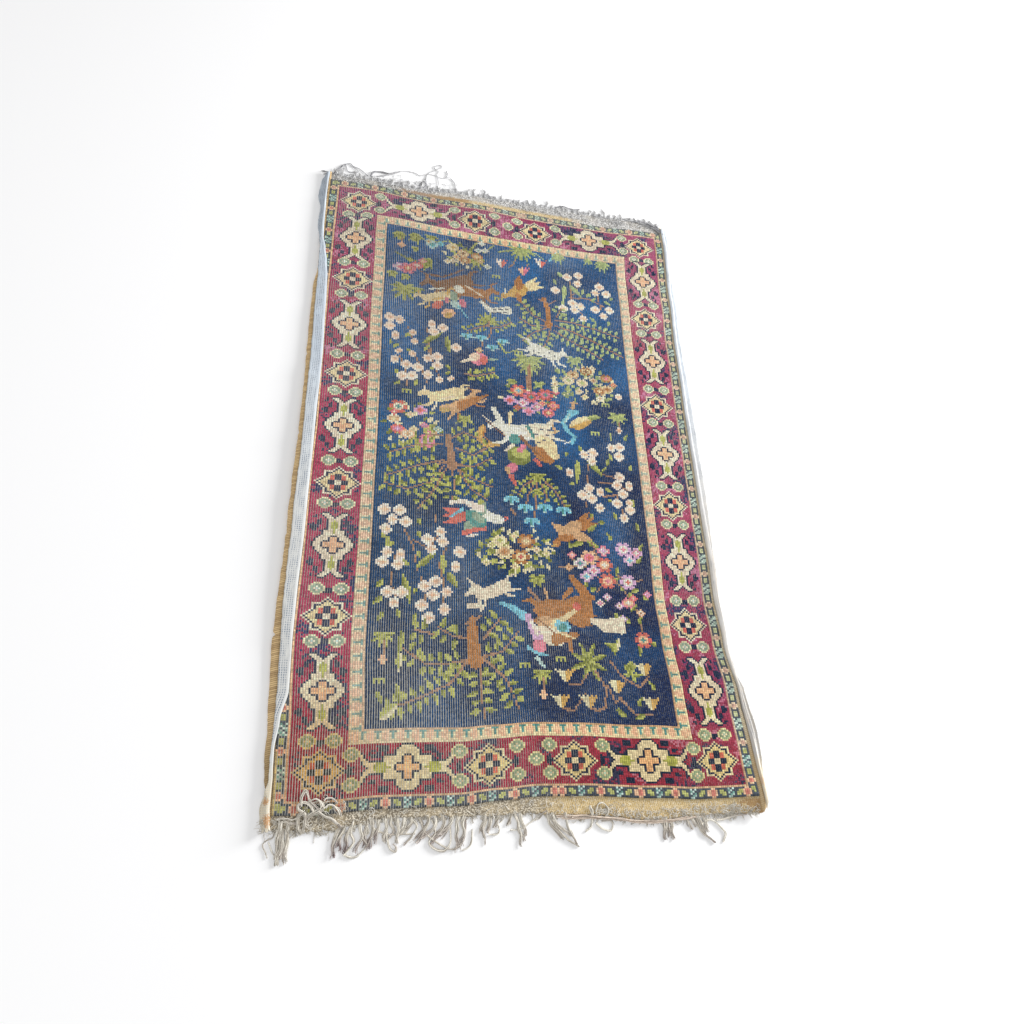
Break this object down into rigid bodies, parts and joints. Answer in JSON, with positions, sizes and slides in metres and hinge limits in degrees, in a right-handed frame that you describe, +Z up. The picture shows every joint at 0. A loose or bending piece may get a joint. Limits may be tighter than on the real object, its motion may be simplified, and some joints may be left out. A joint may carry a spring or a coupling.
{
  "type": "baotou rug",
  "caption": "Small hand-knotted wool rug, lying flat: blue garden field, red star border, cotton side tapes and worn warp fringes at both ends.",
  "frame": {"origin": "on the floor, under the middle of the whole rug with its tapes and fringes", "axes": "+X across the rug towards its right side, +Y along it towards its top end, +Z up out of the pile"},
  "size_m": [0.7348, 1.2556, 0.0154],
  "materials": {
    "pile": "low worn wool pile on a cotton foundation",
    "tape": "plain-woven cotton tape, bleached and soiled",
    "fringe": "unbleached cotton warp ends, grey with dust"
  },
  "bodies": {
    "root": {"rug": "pile", "side_tape_left": "tape", "side_tape_right": "tape", "fringe_top": "fringe", "fringe_bottom": "fringe"}
  },
  "joints": []
}
